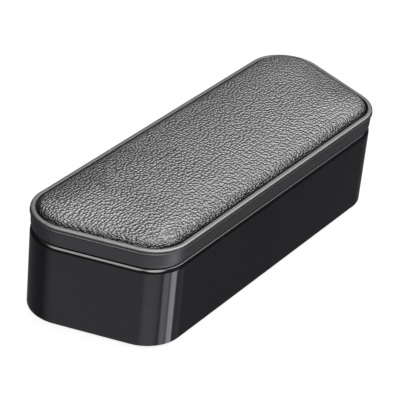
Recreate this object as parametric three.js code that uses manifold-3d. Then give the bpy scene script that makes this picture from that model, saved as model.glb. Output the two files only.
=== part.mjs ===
// A pocket demagnetizer for wrist watches: a padded rest on a battery-powered coil.
// Units are millimetres, +Z is up. The origin is at the middle of the base, on the plane that the feet stand on.
// The plan is a symmetric trapezoid with round corners: the long side is the back (+Y), the short one the front.
import * as THREE from 'three';
import { mergeVertices } from 'three/addons/utils/BufferGeometryUtils.js';
import Module from 'manifold-3d';

const wasm = await Module();
wasm.setup();

// ---- Driving dimensions ----
const BACK_LENGTH = 107; // to the sharp corners, before rounding
const FRONT_LENGTH = 85.2;
const DEPTH = 35.2;
const CORNER_RADIUS = 9.3;
const CORNER_STEPS = 4; // each corner arc gets twice as many segments

const CASE_BOTTOM = 0.6; // how far the feet lift the case
const SEAM = 20.3; // top edge of the lower case
const RIM_TOP = 25.1; // top face of the bezel
const PAD_TOP = 27.5; // crown of the pad
const WALL = 2;
const FLOOR_TOP = CASE_BOTTOM + 2;
const DRAFT = 0.1; // how far the wall draws in towards the bottom
const GAP = 0.3; // between pieces that are pressed or glued together on the real object
const CONTACT = 0.05; // between flat faces that rest on each other

const LEDGE_TOP = 21.6; // where the pad rests inside the bezel
const LIP_INSET = 0.9; // from the case's outline to the bezel's inner edge
const LIP_OVERHANG = 0.25; // the bezel widens by this much towards its top edge
const EDGE_ROUND = 0.9; // radius of the bezel's top edge and of the case's
const LEATHER = 0.7;

const BOARD_BOTTOM = 4.6;
const BOARD_TOP = 5.8;
const ON_BOARD = BOARD_TOP + CONTACT; // underside of a soldered part
const CONTROL_Z = 7.6; // height of the button, lamp and socket on the back wall
const BUTTON_X = -20;
const LAMP_X = 0;
const SOCKET_X = 20;

const COIL_BOTTOM = 9.6;
const COIL_TOP = 20.1;
const COIL_FLANGE_RADIUS = 13.2;
const COIL_DRUM_RADIUS = 8;
const COIL_BORE_RADIUS = 5;
const COIL_FLANGE = 1.1; // flange thickness

// ---- Finishes ----
const finish = (color, roughness, metalness = 0) => new THREE.MeshStandardMaterial({ color, roughness, metalness });
const GLOSS_BLACK = finish(0x1a1a1c, 0.12);
const SATIN_CHARCOAL = finish(0x3c3c40, 0.45);
const GREY_LEATHER = finish(0x4c4b4a, 0.5);
const FOAM = finish(0x2e2e30, 0.95);
const INNER_PLASTIC = finish(0x242426, 0.6);
const RUBBER = finish(0x151515, 0.85);
const STEEL = finish(0xb8babd, 0.3, 1);
const BLACK_STEEL = finish(0x3a3a3c, 0.35, 1);
const SOLDER_MASK = finish(0x14532d, 0.4);
const CHIP_EPOXY = finish(0x1c1c1e, 0.55);
const FERRITE = finish(0x2f3033, 0.7);
const COPPER = finish(0xb4622d, 0.3, 1);
const NYLON = finish(0xe6e2d6, 0.5);
const CAN_SLEEVE = finish(0x1f2a3a, 0.4);
const CELL_FOIL = finish(0xaeb2b8, 0.35, 0.6);
const RED_INSULATION = finish(0xa81e1e, 0.5);
const BLACK_INSULATION = finish(0x191919, 0.5);
const CLEAR_PLASTIC = finish(0xdfe6ea, 0.1);
const LABEL_FILM = finish(0x4a4b4e, 0.5);

// ---- Solids ----
function toSolid(geometry) {
  const bare = new THREE.BufferGeometry();
  bare.setAttribute('position', geometry.getAttribute('position'));
  bare.setIndex(geometry.index);
  const merged = mergeVertices(bare);
  const vertProperties = merged.attributes.position.array;
  const triVerts = new Uint32Array(merged.index.array);
  return new wasm.Manifold(new wasm.Mesh({ numProp: 3, vertProperties, triVerts }));
}

function toGeometry(solid) {
  const { vertProperties, triVerts } = solid.getMesh();
  const geometry = new THREE.BufferGeometry();
  geometry.setAttribute('position', new THREE.BufferAttribute(vertProperties, 3));
  geometry.setIndex(new THREE.BufferAttribute(triVerts, 1));
  geometry.computeVertexNormals();
  return geometry;
}

const join = (...pieces) => toGeometry(pieces.map(toSolid).reduce((all, piece) => all.add(piece)));
const cut = (base, ...tools) =>
  toGeometry(tools.map(toSolid).reduce((left, tool) => left.subtract(tool), toSolid(base)));

const box = ([x0, x1], [y0, y1], [z0, z1]) =>
  new THREE.BoxGeometry(x1 - x0, y1 - y0, z1 - z0).translate((x0 + x1) / 2, (y0 + y1) / 2, (z0 + z1) / 2);
const upright = (radius, [z0, z1], [x, y], segments = 16) =>
  new THREE.CylinderGeometry(radius, radius, z1 - z0, segments).rotateX(Math.PI / 2).translate(x, y, (z0 + z1) / 2);
const alongY = (radius, [y0, y1], [x, z], segments = 20) =>
  new THREE.CylinderGeometry(radius, radius, y1 - y0, segments).translate(x, (y0 + y1) / 2, z);

// A turned solid about the vertical through [x, y]; the profile is [radius, height] pairs.
const turned = (profile, [x, y] = [0, 0], segments = 28) =>
  new THREE.LatheGeometry(profile.map(([r, z]) => new THREE.Vector2(r, z)), segments)
    .rotateX(Math.PI / 2)
    .translate(x, y, 0);

// A round wire bent along points.
function wire(points, radius) {
  const path = new THREE.CatmullRomCurve3(points.map(([x, y, z]) => new THREE.Vector3(x, y, z)));
  const section = new THREE.Shape().absarc(0, 0, radius, 0, 2 * Math.PI);
  return new THREE.ExtrudeGeometry(section, { steps: 10, curveSegments: 4, extrudePath: path });
}

// A flat-topped slab with rounded upright edges; a rim above zero also rounds the top and bottom edges.
function slab([x0, x1], [y0, y1], [z0, z1], corner, rim = 0, steps = 3) {
  const w = (x1 - x0) / 2 - corner - rim;
  const d = (y1 - y0) / 2 - corner - rim;
  const shape = new THREE.Shape();
  shape.absarc(w, d, corner, 0, Math.PI / 2);
  shape.absarc(-w, d, corner, Math.PI / 2, Math.PI);
  shape.absarc(-w, -d, corner, Math.PI, 1.5 * Math.PI);
  shape.absarc(w, -d, corner, 1.5 * Math.PI, 2 * Math.PI);
  const settings = {
    depth: z1 - z0 - 2 * rim,
    bevelEnabled: rim > 0,
    bevelSize: rim,
    bevelThickness: rim,
    bevelSegments: Math.ceil(steps / 2),
    curveSegments: steps,
  };
  return new THREE.ExtrudeGeometry(shape, settings).translate((x0 + x1) / 2, (y0 + y1) / 2, z0 + rim);
}

// ---- The plan outline ----
// Where the round corner's centre is, and the directions in which its arc starts and ends, counter-clockwise.
const SLANT = Math.atan2((BACK_LENGTH - FRONT_LENGTH) / 2, DEPTH);
const BACK_CENTRE_X = BACK_LENGTH / 2 - (CORNER_RADIUS * (1 + Math.sin(SLANT))) / Math.cos(SLANT);
const FRONT_CENTRE_X = FRONT_LENGTH / 2 - (CORNER_RADIUS * (1 - Math.sin(SLANT))) / Math.cos(SLANT);
const CENTRE_Y = DEPTH / 2 - CORNER_RADIUS;
const CORNERS = [
  { x: BACK_CENTRE_X, y: CENTRE_Y, from: -SLANT, to: Math.PI / 2 },
  { x: -BACK_CENTRE_X, y: CENTRE_Y, from: Math.PI / 2, to: Math.PI + SLANT },
  { x: -FRONT_CENTRE_X, y: -CENTRE_Y, from: Math.PI + SLANT, to: 1.5 * Math.PI },
  { x: FRONT_CENTRE_X, y: -CENTRE_Y, from: 1.5 * Math.PI, to: 2 * Math.PI - SLANT },
];

function outline(inset) {
  const shape = new THREE.Shape();
  CORNERS.forEach(({ x, y, from, to }) => shape.absarc(x, y, CORNER_RADIUS - inset, from, to));
  return shape;
}

// A solid whose level sections are the outline drawn in by an inset, given as [inset, height] from bottom to top.
function stack(levels) {
  const rings = levels.map(([inset]) => outline(inset).getPoints(CORNER_STEPS));
  const count = rings[0].length;
  const positions = rings.flatMap((ring, level) => ring.flatMap(({ x, y }) => [x, y, levels[level][1]]));
  const index = [];
  for (let level = 0; level < rings.length - 1; level++) {
    for (let i = 0; i < count; i++) {
      const here = level * count + i;
      const next = level * count + ((i + 1) % count);
      index.push(here, next, here + count, next, next + count, here + count);
    }
  }
  const top = (rings.length - 1) * count;
  THREE.ShapeUtils.triangulateShape(rings[0], []).forEach(([a, b, c]) => index.push(a, c, b));
  THREE.ShapeUtils.triangulateShape(rings.at(-1), []).forEach(([a, b, c]) => index.push(a + top, b + top, c + top));
  const geometry = new THREE.BufferGeometry();
  geometry.setAttribute('position', new THREE.Float32BufferAttribute(positions, 3));
  return geometry.setIndex(index);
}

// The four places, near the corners, where the case is screwed to the bezel.
const POST_INSET = 5.6;
const POSTS = CORNERS.map(({ x, y, from, to }) => {
  const middle = (from + to) / 2;
  const reach = CORNER_RADIUS - POST_INSET;
  return [x + reach * Math.cos(middle), y + reach * Math.sin(middle)];
});
const BOARD_SCREWS = [[-31.3, -10.5], [31.3, -10.5], [31.3, 11.3]];
const COIL_SCREWS = [[-11.2, -11.2], [11.2, 11.2]];

// ---- Screws ----
// A pan-head screw with a cross recess, head down (side -1) or head up (side 1), seated at height z.
function screw([x, y], seat, side, { headRadius, headHeight, shankRadius, length }) {
  const profile = [
    [0, -length],
    [shankRadius * 0.5, -length],
    [shankRadius, -length + shankRadius],
    [shankRadius, 0],
    [headRadius, 0],
    [headRadius, headHeight * 0.55],
    [headRadius * 0.7, headHeight],
    [0, headHeight],
  ];
  const slot = headRadius * 0.62;
  const blade = headRadius * 0.13;
  const recess = [headHeight * 0.4, headHeight + 1];
  const body = cut(
    turned(profile, [0, 0], 12),
    box([-slot, slot], [-blade, blade], recess),
    box([-blade, blade], [-slot, slot], recess),
  );
  if (side < 0) body.rotateX(Math.PI);
  return body.translate(x, y, seat);
}

const SCREW_HEAD_SEAT = 3.1; // where a case screw's head bears in its well
const CASE_SCREW = { headRadius: 1.9, headHeight: 1.4, shankRadius: 0.85, length: 9 };
const BOARD_SCREW = { headRadius: 1.7, headHeight: 1.1, shankRadius: 0.7, length: 3.6 };
const COIL_SCREW = { headRadius: 1.7, headHeight: 1.1, shankRadius: 0.7, length: 5.2 };

// ---- Housing ----
// The levels of a stack's rounded top edge, which ends at height z.
const roundedEdge = (inset, z) =>
  [0, 30, 60, 90].map((degrees) => {
    const angle = (degrees * Math.PI) / 180;
    return [inset + EDGE_ROUND * (1 - Math.cos(angle)), z - EDGE_ROUND * (1 - Math.sin(angle))];
  });

function lowerCase() {
  const wellRadius = 2.3;
  const shaftClearance = 1.25;
  const bossTop = 5.5;
  const outer = stack([
    [DRAFT + 0.4, CASE_BOTTOM],
    [DRAFT, CASE_BOTTOM + 0.4],
    ...roundedEdge(0, SEAM),
  ]);
  const inner = stack([
    [WALL + 0.8, FLOOR_TOP],
    [WALL, FLOOR_TOP + 0.8],
    [WALL, SEAM + 1],
  ]);
  const shell = cut(outer, inner);
  const bosses = [
    ...POSTS.map((place) => upright(3.4, [FLOOR_TOP - 0.5, bossTop], place)),
    ...BOARD_SCREWS.map((place) => upright(2.2, [FLOOR_TOP - 0.5, BOARD_BOTTOM - CONTACT], place)),
    ...COIL_SCREWS.map((place) => upright(2, [FLOOR_TOP - 0.5, COIL_BOTTOM - CONTACT], place)),
  ];
  const wells = POSTS.flatMap((place) => [
    upright(FOOT_RADIUS + GAP, [CASE_BOTTOM - 1, FOOT_RECESS_TOP], place, 28),
    upright(wellRadius, [CASE_BOTTOM, SCREW_HEAD_SEAT], place),
    upright(shaftClearance, [CASE_BOTTOM, bossTop + 1], place, 12),
  ]);
  const pilots = [
    ...BOARD_SCREWS.map((place) => upright(1, [FLOOR_TOP - 0.8, BOARD_BOTTOM + 1], place, 12)),
    ...COIL_SCREWS.map((place) => upright(1, [FLOOR_TOP, COIL_BOTTOM + 1], place, 12)),
  ];
  const [labelX, labelY] = LABEL_HALF.map((half) => [-half - GAP, half + GAP]);
  const labelRecess = slab(labelX, labelY, [CASE_BOTTOM - 1, LABEL_TOP], 1.5);
  const wallSpan = [DEPTH / 2 - WALL - 2, DEPTH / 2 + 1];
  const ports = [
    alongY(BUTTON_RADIUS + GAP, wallSpan, [BUTTON_X, CONTROL_Z], 28),
    alongY(LAMP_RADIUS + 0.1, wallSpan, [LAMP_X, CONTROL_Z], 16),
    socketSection(SOCKET_HALF_WIDTH + GAP, SOCKET_HALF_HEIGHT + GAP, wallSpan),
  ];
  return cut(join(shell, ...bosses), ...wells, ...pilots, labelRecess, ...ports);
}

function topBezel() {
  const bottom = SEAM + 0.25; // the shadow line above the lower case
  const frame = cut(
    stack([
      [0.15, bottom],
      [0, bottom + 0.15],
      [-LIP_OVERHANG / 4, RIM_TOP - 2.6],
      ...roundedEdge(-LIP_OVERHANG, RIM_TOP),
    ]),
    stack([
      [4.2, bottom - 1],
      [4.2, LEDGE_TOP + 1],
    ]),
    stack([
      [LIP_INSET, LEDGE_TOP],
      [LIP_INSET, RIM_TOP + 1],
    ]),
  );
  const tongueInset = WALL + 0.35;
  const tongue = cut(
    stack([
      [tongueInset + 0.3, SEAM - 2.8],
      [tongueInset, SEAM - 2.5],
      [tongueInset, LEDGE_TOP - 0.5],
    ]),
    stack([
      [3.7, SEAM - 4],
      [3.7, LEDGE_TOP],
    ]),
  );
  const posts = POSTS.map((place) => upright(3, [5.8, LEDGE_TOP - 0.4], place));
  const pilots = POSTS.map((place) => upright(1.15, [4, 14.5], place, 12));
  return cut(join(frame, tongue, ...posts), ...pilots);
}

// Rubber feet sit in round recesses and hide the case screws.
const FOOT_RADIUS = 4.4;
const FOOT_RECESS_TOP = CASE_BOTTOM + 0.8;
const foot = (place) =>
  turned(
    [
      [0, 0],
      [FOOT_RADIUS - 0.4, 0],
      [FOOT_RADIUS, 0.4],
      [FOOT_RADIUS, 1.1],
      [0, 1.1],
    ],
    place,
  );

const LABEL_HALF = [17, 8];
const LABEL_TOP = CASE_BOTTOM + 0.35;
function baseLabel() {
  const [w, d] = LABEL_HALF;
  return slab([-w, w], [-d, d], [CASE_BOTTOM + 0.1, LABEL_TOP - CONTACT], 1.3);
}

// ---- Pad ----
const PAD_BOTTOM = LEDGE_TOP + CONTACT;
const PAD_INSET = 1.25; // from the case's outline to the leather's side
const PLATE_INSET = PAD_INSET + LEATHER + GAP;
const PLATE_TOP = PAD_BOTTOM + LEATHER + GAP + 1.2;

const padPlate = () =>
  stack([
    [PLATE_INSET, PAD_BOTTOM + LEATHER + GAP],
    [PLATE_INSET, PLATE_TOP],
  ]);

const padFoam = () =>
  stack([
    [PLATE_INSET, PLATE_TOP + GAP],
    [PLATE_INSET, PAD_TOP - 2.2],
    [2.75, PAD_TOP - 1.95],
    [3.3, PAD_TOP - 1.7],
    [5.8, PAD_TOP - 1.2],
    [8.6, PAD_TOP - LEATHER - GAP],
  ]);

// The leather goes over the foam, down the side and back under the plate.
function padCover() {
  return cut(
    stack([
      [PAD_INSET + 0.5, PAD_BOTTOM],
      [PAD_INSET, PAD_BOTTOM + 0.5],
      [PAD_INSET, PAD_TOP - 1.9],
      [PAD_INSET + 0.15, PAD_TOP - 1.4],
      [PAD_INSET + 0.6, PAD_TOP - 0.95],
      [PAD_INSET + 1.6, PAD_TOP - 0.55],
      [PAD_INSET + 4, PAD_TOP - 0.2],
      [PAD_INSET + 7, PAD_TOP],
    ]),
    stack([
      [PAD_INSET + LEATHER, PAD_BOTTOM + LEATHER],
      [PAD_INSET + LEATHER, PAD_TOP - 2],
      [PAD_INSET + 0.9, PAD_TOP - 1.65],
      [PAD_INSET + 1.4, PAD_TOP - 1.4],
      [PAD_INSET + 4.2, PAD_TOP - 0.9],
      [PAD_INSET + 7.1, PAD_TOP - LEATHER],
    ]),
    stack([
      [6.5, PAD_BOTTOM - 1],
      [6.5, PAD_BOTTOM + LEATHER + 0.2],
    ]),
  );
}

// ---- Coil ----
function coilBobbin() {
  const spool = turned([
    [COIL_BORE_RADIUS, COIL_BOTTOM],
    [COIL_FLANGE_RADIUS, COIL_BOTTOM],
    [COIL_FLANGE_RADIUS, COIL_BOTTOM + COIL_FLANGE],
    [COIL_DRUM_RADIUS, COIL_BOTTOM + COIL_FLANGE],
    [COIL_DRUM_RADIUS, COIL_TOP - COIL_FLANGE],
    [COIL_FLANGE_RADIUS, COIL_TOP - COIL_FLANGE],
    [COIL_FLANGE_RADIUS, COIL_TOP],
    [COIL_BORE_RADIUS, COIL_TOP],
    [COIL_BORE_RADIUS, COIL_BOTTOM],
  ]);
  const ears = COIL_SCREWS.map((place) => upright(2.3, [COIL_BOTTOM, COIL_BOTTOM + COIL_FLANGE], place));
  const webs = COIL_SCREWS.map(([x, y]) =>
    new THREE.BoxGeometry(6, 4.6, COIL_FLANGE)
      .rotateZ(Math.atan2(y, x))
      .translate(x * 0.82, y * 0.82, COIL_BOTTOM + COIL_FLANGE / 2),
  );
  const holes = COIL_SCREWS.map((place) => upright(1, [COIL_BOTTOM - 1, COIL_BOTTOM + 3], place, 12));
  return cut(join(spool, ...ears, ...webs), ...holes);
}

const WINDING_RADII = [COIL_DRUM_RADIUS + 0.15, COIL_FLANGE_RADIUS - 0.6];
const WINDING_HEIGHTS = [COIL_BOTTOM + COIL_FLANGE + 0.15, COIL_TOP - COIL_FLANGE - 0.15];
function coilWinding() {
  const [inside, outside] = WINDING_RADII;
  const [low, high] = WINDING_HEIGHTS;
  return turned([
    [inside, low],
    [outside, low],
    [outside, high],
    [inside, high],
    [inside, low],
  ]);
}

const coilCore = () => upright(COIL_BORE_RADIUS - GAP, [COIL_BOTTOM, COIL_TOP], [0, 0], 24);

// The winding's two ends run out past the lower flange and down to the board.
const coilLead = (side) =>
  wire(
    [
      [12.9, side, 12],
      [14.1, side, 11.7],
      [14.7, side, 10],
      [14.9, side, 8],
      [15.1, side, BOARD_TOP + 0.1],
    ],
    0.3,
  );

// ---- Circuit board and what is on it ----
const BOARD_HALF = [33.6, 14.5];
function mainBoard() {
  const [w, d] = BOARD_HALF;
  const plain = slab([-w, w], [-d, d], [BOARD_BOTTOM, BOARD_TOP], 2);
  const holes = [
    ...BOARD_SCREWS.map((place) => upright(1, [BOARD_BOTTOM - 1, BOARD_TOP + 1], place, 12)),
    ...COIL_SCREWS.map((place) => upright(2.3, [BOARD_BOTTOM - 1, BOARD_TOP + 1], place)),
  ];
  const buttonNotch = box([BUTTON_X - 3.8, BUTTON_X + 3.8], [13.4, d + 1], [BOARD_BOTTOM - 1, BOARD_TOP + 1]);
  return cut(plain, ...holes, buttonNotch);
}

// A chip or other block on the board, by its middle and its size.
const block = ([x, y], [w, d, h], rim = 0.12) =>
  slab([x - w / 2, x + w / 2], [y - d / 2, y + d / 2], [ON_BOARD, ON_BOARD + h], 0.15, rim, 1);

// Electrolytic storage capacitor lying along Y, with its crimped neck and its two wires towards the back.
function storageCapacitor() {
  const [x, y, z] = [26.5, -13.4, 12.3];
  const radius = 6.25;
  const profile = [
    [0, 0],
    [radius - 0.6, 0],
    [radius, 0.6],
    [radius, 17.2],
    [radius - 0.7, 18.1],
    [radius, 19],
    [radius, 20.4],
    [radius - 0.5, 21],
    [0, 21],
  ];
  const can = new THREE.LatheGeometry(profile.map(([r, l]) => new THREE.Vector2(r, l)), 24).translate(x, y, z);
  const wires = [-2.5, 2.5].map((side) =>
    wire(
      [
        [x + side, y + 20.5, z],
        [x + side, y + 22, z - 0.2],
        [x + side, y + 22.5, z - 1.4],
        [x + side, y + 22.5, ON_BOARD],
      ],
      0.35,
    ),
  );
  return join(can, ...wires);
}

// ---- Battery ----
const CELL = { x: [-34, -17], y: [-13.4, 7], z: [8.15, 18.4] };
const batteryCell = () => slab(CELL.x, CELL.y, CELL.z, 1.4, 0.8, 2);
const batteryPad = () => box([-29, -20], [-9, 5], [ON_BOARD, CELL.z[0] - CONTACT]);

const PLUG_X = -29.6;
function batterySocket() {
  const body = box([PLUG_X - 3.1, PLUG_X + 3.1], [8.6, 13.2], [ON_BOARD, 11.2]);
  const mouth = box([PLUG_X - 2.6, PLUG_X + 2.6], [9.1, 12.7], [7.4, 12]);
  return cut(body, mouth);
}
const batteryPlug = () => box([PLUG_X - 2.3, PLUG_X + 2.3], [9.4, 12.4], [7.7, 13]);

// From the cell's tab, up over the socket and down into the plug.
const batteryLead = (offset) =>
  wire(
    [
      [PLUG_X + 2.2 * offset, CELL.y[1] + 0.2, 15.4],
      [PLUG_X + 2 * offset, CELL.y[1] + 1.6, 15.9],
      [PLUG_X + 1.6 * offset, 9.9, 15.8],
      [PLUG_X + 1.3 * offset, 10.8, 14.7],
      [PLUG_X + 1.2 * offset, 10.9, 13.1],
    ],
    0.55,
  );

// ---- Charging socket ----
const SOCKET_HALF_WIDTH = 4.45;
const SOCKET_HALF_HEIGHT = 1.6;
const SOCKET_SPAN = [10, 17.2];

// A prism along Y with the charging socket's round-ended section.
function socketSection(halfWidth, halfHeight, [y0, y1]) {
  const straight = halfWidth - halfHeight;
  const shape = new THREE.Shape();
  shape.absarc(straight, 0, halfHeight, -Math.PI / 2, Math.PI / 2);
  shape.absarc(-straight, 0, halfHeight, Math.PI / 2, 1.5 * Math.PI);
  return new THREE.ExtrudeGeometry(shape, { depth: y1 - y0, bevelEnabled: false, curveSegments: 5 })
    .rotateX(Math.PI / 2)
    .translate(SOCKET_X, y1, CONTROL_Z);
}

function socketShell() {
  const metal = 0.3;
  return cut(
    socketSection(SOCKET_HALF_WIDTH, SOCKET_HALF_HEIGHT, SOCKET_SPAN),
    socketSection(SOCKET_HALF_WIDTH - metal, SOCKET_HALF_HEIGHT - metal, [SOCKET_SPAN[0] + metal, SOCKET_SPAN[1] + 1]),
  );
}

// The contact tongue stands on a block at the back of the shell.
function socketTongue() {
  const base = SOCKET_SPAN[0] + 0.5;
  return join(
    socketSection(SOCKET_HALF_WIDTH - 0.5, SOCKET_HALF_HEIGHT - 0.5, [base, base + 1.4]),
    box([SOCKET_X - 3.3, SOCKET_X + 3.3], [base + 1, SOCKET_SPAN[1] - 0.8], [CONTROL_Z - 0.35, CONTROL_Z + 0.35]),
  );
}

// ---- Push button ----
const BUTTON_RADIUS = 2.5;
const SWITCH_FACE = 12.2;
const STEM_TIP = 13.4;

function switchBody() {
  const body = box([BUTTON_X - 3, BUTTON_X + 3], [8.6, SWITCH_FACE], [ON_BOARD, CONTROL_Z + 1.75]);
  return cut(body, alongY(1.5, [10.3, SWITCH_FACE + 1], [BUTTON_X, CONTROL_Z], 20));
}
const switchPlunger = () => alongY(1.2, [11, STEM_TIP], [BUTTON_X, CONTROL_Z], 20);

// The cap is held behind the wall by a collar, and its stem meets the plunger.
function buttonCap() {
  const face = DEPTH / 2 + 0.3;
  const crown = [
    [0, STEM_TIP + GAP],
    [1.3, STEM_TIP + GAP],
    [1.3, 14.3],
    [3.3, 14.3],
    [3.3, 15.2],
    [BUTTON_RADIUS, 15.2],
    [BUTTON_RADIUS, face - 0.4],
    [BUTTON_RADIUS - 0.4, face],
    [0, face],
  ];
  return new THREE.LatheGeometry(crown.map(([r, y]) => new THREE.Vector2(r, y)), 32).translate(BUTTON_X, 0, CONTROL_Z);
}

// ---- Status lamp ----
const LAMP_RADIUS = 1;
const statusLed = () => box([LAMP_X - 1.6, LAMP_X + 1.6], [11.8, 13.4], [ON_BOARD, CONTROL_Z + 1.1]);
const lightPipe = () =>
  new THREE.LatheGeometry(
    [
      [0, 13.7],
      [1.7, 13.7],
      [1.7, 15.3],
      [LAMP_RADIUS, 15.3],
      [LAMP_RADIUS, DEPTH / 2 - 0.25],
      [0, DEPTH / 2 - 0.05],
    ].map(([r, y]) => new THREE.Vector2(r, y)),
    20,
  ).translate(LAMP_X, 0, CONTROL_Z);

// ---- Assembly ----
const demagnetizer = new THREE.Group();
demagnetizer.name = 'demagnetizer';

function add(name, geometry, material) {
  const mesh = new THREE.Mesh(geometry, material);
  mesh.name = name;
  demagnetizer.add(mesh);
}

add('lower_case', lowerCase(), GLOSS_BLACK);
add('top_bezel', topBezel(), SATIN_CHARCOAL);
POSTS.forEach((place, i) => {
  add(`case_screw_${i + 1}`, screw(place, SCREW_HEAD_SEAT - CONTACT, -1, CASE_SCREW), BLACK_STEEL);
  add(`foot_${i + 1}`, foot(place), RUBBER);
});
add('base_label', baseLabel(), LABEL_FILM);

add('pad_plate', padPlate(), INNER_PLASTIC);
add('pad_foam', padFoam(), FOAM);
add('pad_cover', padCover(), GREY_LEATHER);

add('coil_bobbin', coilBobbin(), NYLON);
add('coil_winding', coilWinding(), COPPER);
add('coil_core', coilCore(), FERRITE);
add('coil_lead_1', coilLead(-2), COPPER);
add('coil_lead_2', coilLead(2), COPPER);
COIL_SCREWS.forEach((place, i) =>
  add(`coil_screw_${i + 1}`, screw(place, COIL_BOTTOM + COIL_FLANGE + CONTACT, 1, COIL_SCREW), STEEL),
);

add('main_board', mainBoard(), SOLDER_MASK);
BOARD_SCREWS.forEach((place, i) =>
  add(`board_screw_${i + 1}`, screw(place, BOARD_TOP + CONTACT, 1, BOARD_SCREW), STEEL),
);
add('controller_chip', block([-6, -6], [7, 7, 1]), CHIP_EPOXY);
add('charger_chip', block([12.5, -12], [3, 3, 1]), CHIP_EPOXY);
add('mosfet_1', block([4, -8.5], [6.5, 6, 2.2]), CHIP_EPOXY);
add('mosfet_2', block([4, -1], [6.5, 6, 2.2]), CHIP_EPOXY);
add('flyback_diode', block([-8.5, 3.5], [2.7, 4.4, 2]), CHIP_EPOXY);
add('boost_inductor', block([3.5, 6.8], [6, 6, 2.9], 0.4), FERRITE);
add('storage_capacitor', storageCapacitor(), CAN_SLEEVE);
add('status_led', statusLed(), CLEAR_PLASTIC);
add('light_pipe', lightPipe(), CLEAR_PLASTIC);

add('battery_cell', batteryCell(), CELL_FOIL);
add('battery_pad', batteryPad(), FOAM);
add('battery_socket', batterySocket(), NYLON);
add('battery_plug', batteryPlug(), NYLON);
add('battery_lead_red', batteryLead(-1), RED_INSULATION);
add('battery_lead_black', batteryLead(1), BLACK_INSULATION);

add('charging_socket', socketShell(), STEEL);
add('charging_tongue', socketTongue(), CHIP_EPOXY);

add('switch_body', switchBody(), CHIP_EPOXY);
add('switch_plunger', switchPlunger(), NYLON);
add('button_cap', buttonCap(), SATIN_CHARCOAL);

export default demagnetizer;
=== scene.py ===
import math

import bmesh
import bpy
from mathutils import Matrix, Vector


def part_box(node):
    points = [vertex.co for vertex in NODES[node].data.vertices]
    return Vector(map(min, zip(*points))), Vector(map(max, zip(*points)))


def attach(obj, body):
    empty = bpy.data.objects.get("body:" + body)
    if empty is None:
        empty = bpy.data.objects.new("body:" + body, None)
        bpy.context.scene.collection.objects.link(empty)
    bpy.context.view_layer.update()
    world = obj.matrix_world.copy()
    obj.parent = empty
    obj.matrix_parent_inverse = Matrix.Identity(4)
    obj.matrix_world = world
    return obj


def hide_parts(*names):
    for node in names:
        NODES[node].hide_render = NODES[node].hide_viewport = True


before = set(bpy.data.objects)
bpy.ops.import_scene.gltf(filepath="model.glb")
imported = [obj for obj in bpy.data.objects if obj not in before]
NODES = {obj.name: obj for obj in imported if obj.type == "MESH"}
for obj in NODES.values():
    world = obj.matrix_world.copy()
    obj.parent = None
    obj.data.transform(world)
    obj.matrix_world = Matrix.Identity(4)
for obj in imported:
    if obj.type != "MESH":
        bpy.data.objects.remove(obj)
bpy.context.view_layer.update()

MM = 0.001

# ---- Sizes ----
BACK_LENGTH = 107 * MM  # to the sharp corners, before rounding
FRONT_LENGTH = 85.2 * MM
CORNER_RADIUS = 9.3 * MM
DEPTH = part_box("lower_case")[1].y * 2
CASE_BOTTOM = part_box("lower_case")[0].z
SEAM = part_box("lower_case")[1].z
RIM_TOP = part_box("top_bezel")[1].z
PAD_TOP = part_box("pad_cover")[1].z
PAD_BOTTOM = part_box("pad_cover")[0].z
WALL = 2 * MM
DRAFT = 0.1 * MM
FLOOR_TOP = CASE_BOTTOM + 2 * MM
SCREW_SEAT = 3.1 * MM
GAP = 0.3 * MM
CONTACT = 0.05 * MM
LEDGE_TOP = 21.6 * MM
LIP_INSET = 0.9 * MM
PAD_INSET = 1.25 * MM
POST_TOP = LEDGE_TOP - 0.4 * MM
WALL_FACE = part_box("button_cap")[1].y - 0.36 * MM  # the back wall's outside at the height of the controls
FLAT_INSET = 7 * MM  # floors and undersides are flat from here inward


def middle(node):
    """The middle of a CAD node's box."""
    low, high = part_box(node)
    return (low + high) / 2


FEET = ["foot_1", "foot_2", "foot_3", "foot_4"]
POSTS = [middle(foot).xy for foot in FEET]
BOARD_SCREWS = [middle(screw).xy for screw in ("board_screw_1", "board_screw_2", "board_screw_3")]
COIL_SCREWS = [middle(screw).xy for screw in ("coil_screw_1", "coil_screw_2")]


# ---- The plan outline ----
SLANT = math.atan2((BACK_LENGTH - FRONT_LENGTH) / 2, DEPTH)
BACK_CENTRE_X = BACK_LENGTH / 2 - CORNER_RADIUS * (1 + math.sin(SLANT)) / math.cos(SLANT)
FRONT_CENTRE_X = FRONT_LENGTH / 2 - CORNER_RADIUS * (1 - math.sin(SLANT)) / math.cos(SLANT)
CENTRE_Y = DEPTH / 2 - CORNER_RADIUS
QUARTER = math.pi / 2
CORNERS = [
    (BACK_CENTRE_X, CENTRE_Y, -SLANT, QUARTER),
    (-BACK_CENTRE_X, CENTRE_Y, QUARTER, math.pi + SLANT),
    (-FRONT_CENTRE_X, -CENTRE_Y, math.pi + SLANT, 3 * QUARTER),
    (FRONT_CENTRE_X, -CENTRE_Y, 3 * QUARTER, 4 * QUARTER - SLANT),
]


def outline(inset, steps=28):
    """The case's outline drawn in by inset, counter-clockwise."""
    radius = CORNER_RADIUS - inset
    points = []
    for x, y, start, end in CORNERS:
        for step in range(steps + 1):
            angle = start + (end - start) * step / steps
            points.append((x + radius * math.cos(angle), y + radius * math.sin(angle)))
    return points


def rounded_rectangle(half_width, half_height, corner, centre=(0, 0), steps=8):
    """A ring function like outline, for a rectangle with round corners."""

    def ring(inset):
        points = []
        for quarter, (side_x, side_y) in enumerate([(1, 1), (-1, 1), (-1, -1), (1, -1)]):
            x = centre[0] + side_x * (half_width - corner)
            y = centre[1] + side_y * (half_height - corner)
            for step in range(steps + 1):
                angle = QUARTER * (quarter + step / steps)
                reach = corner - inset
                points.append((x + reach * math.cos(angle), y + reach * math.sin(angle)))
        return points

    return ring


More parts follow.
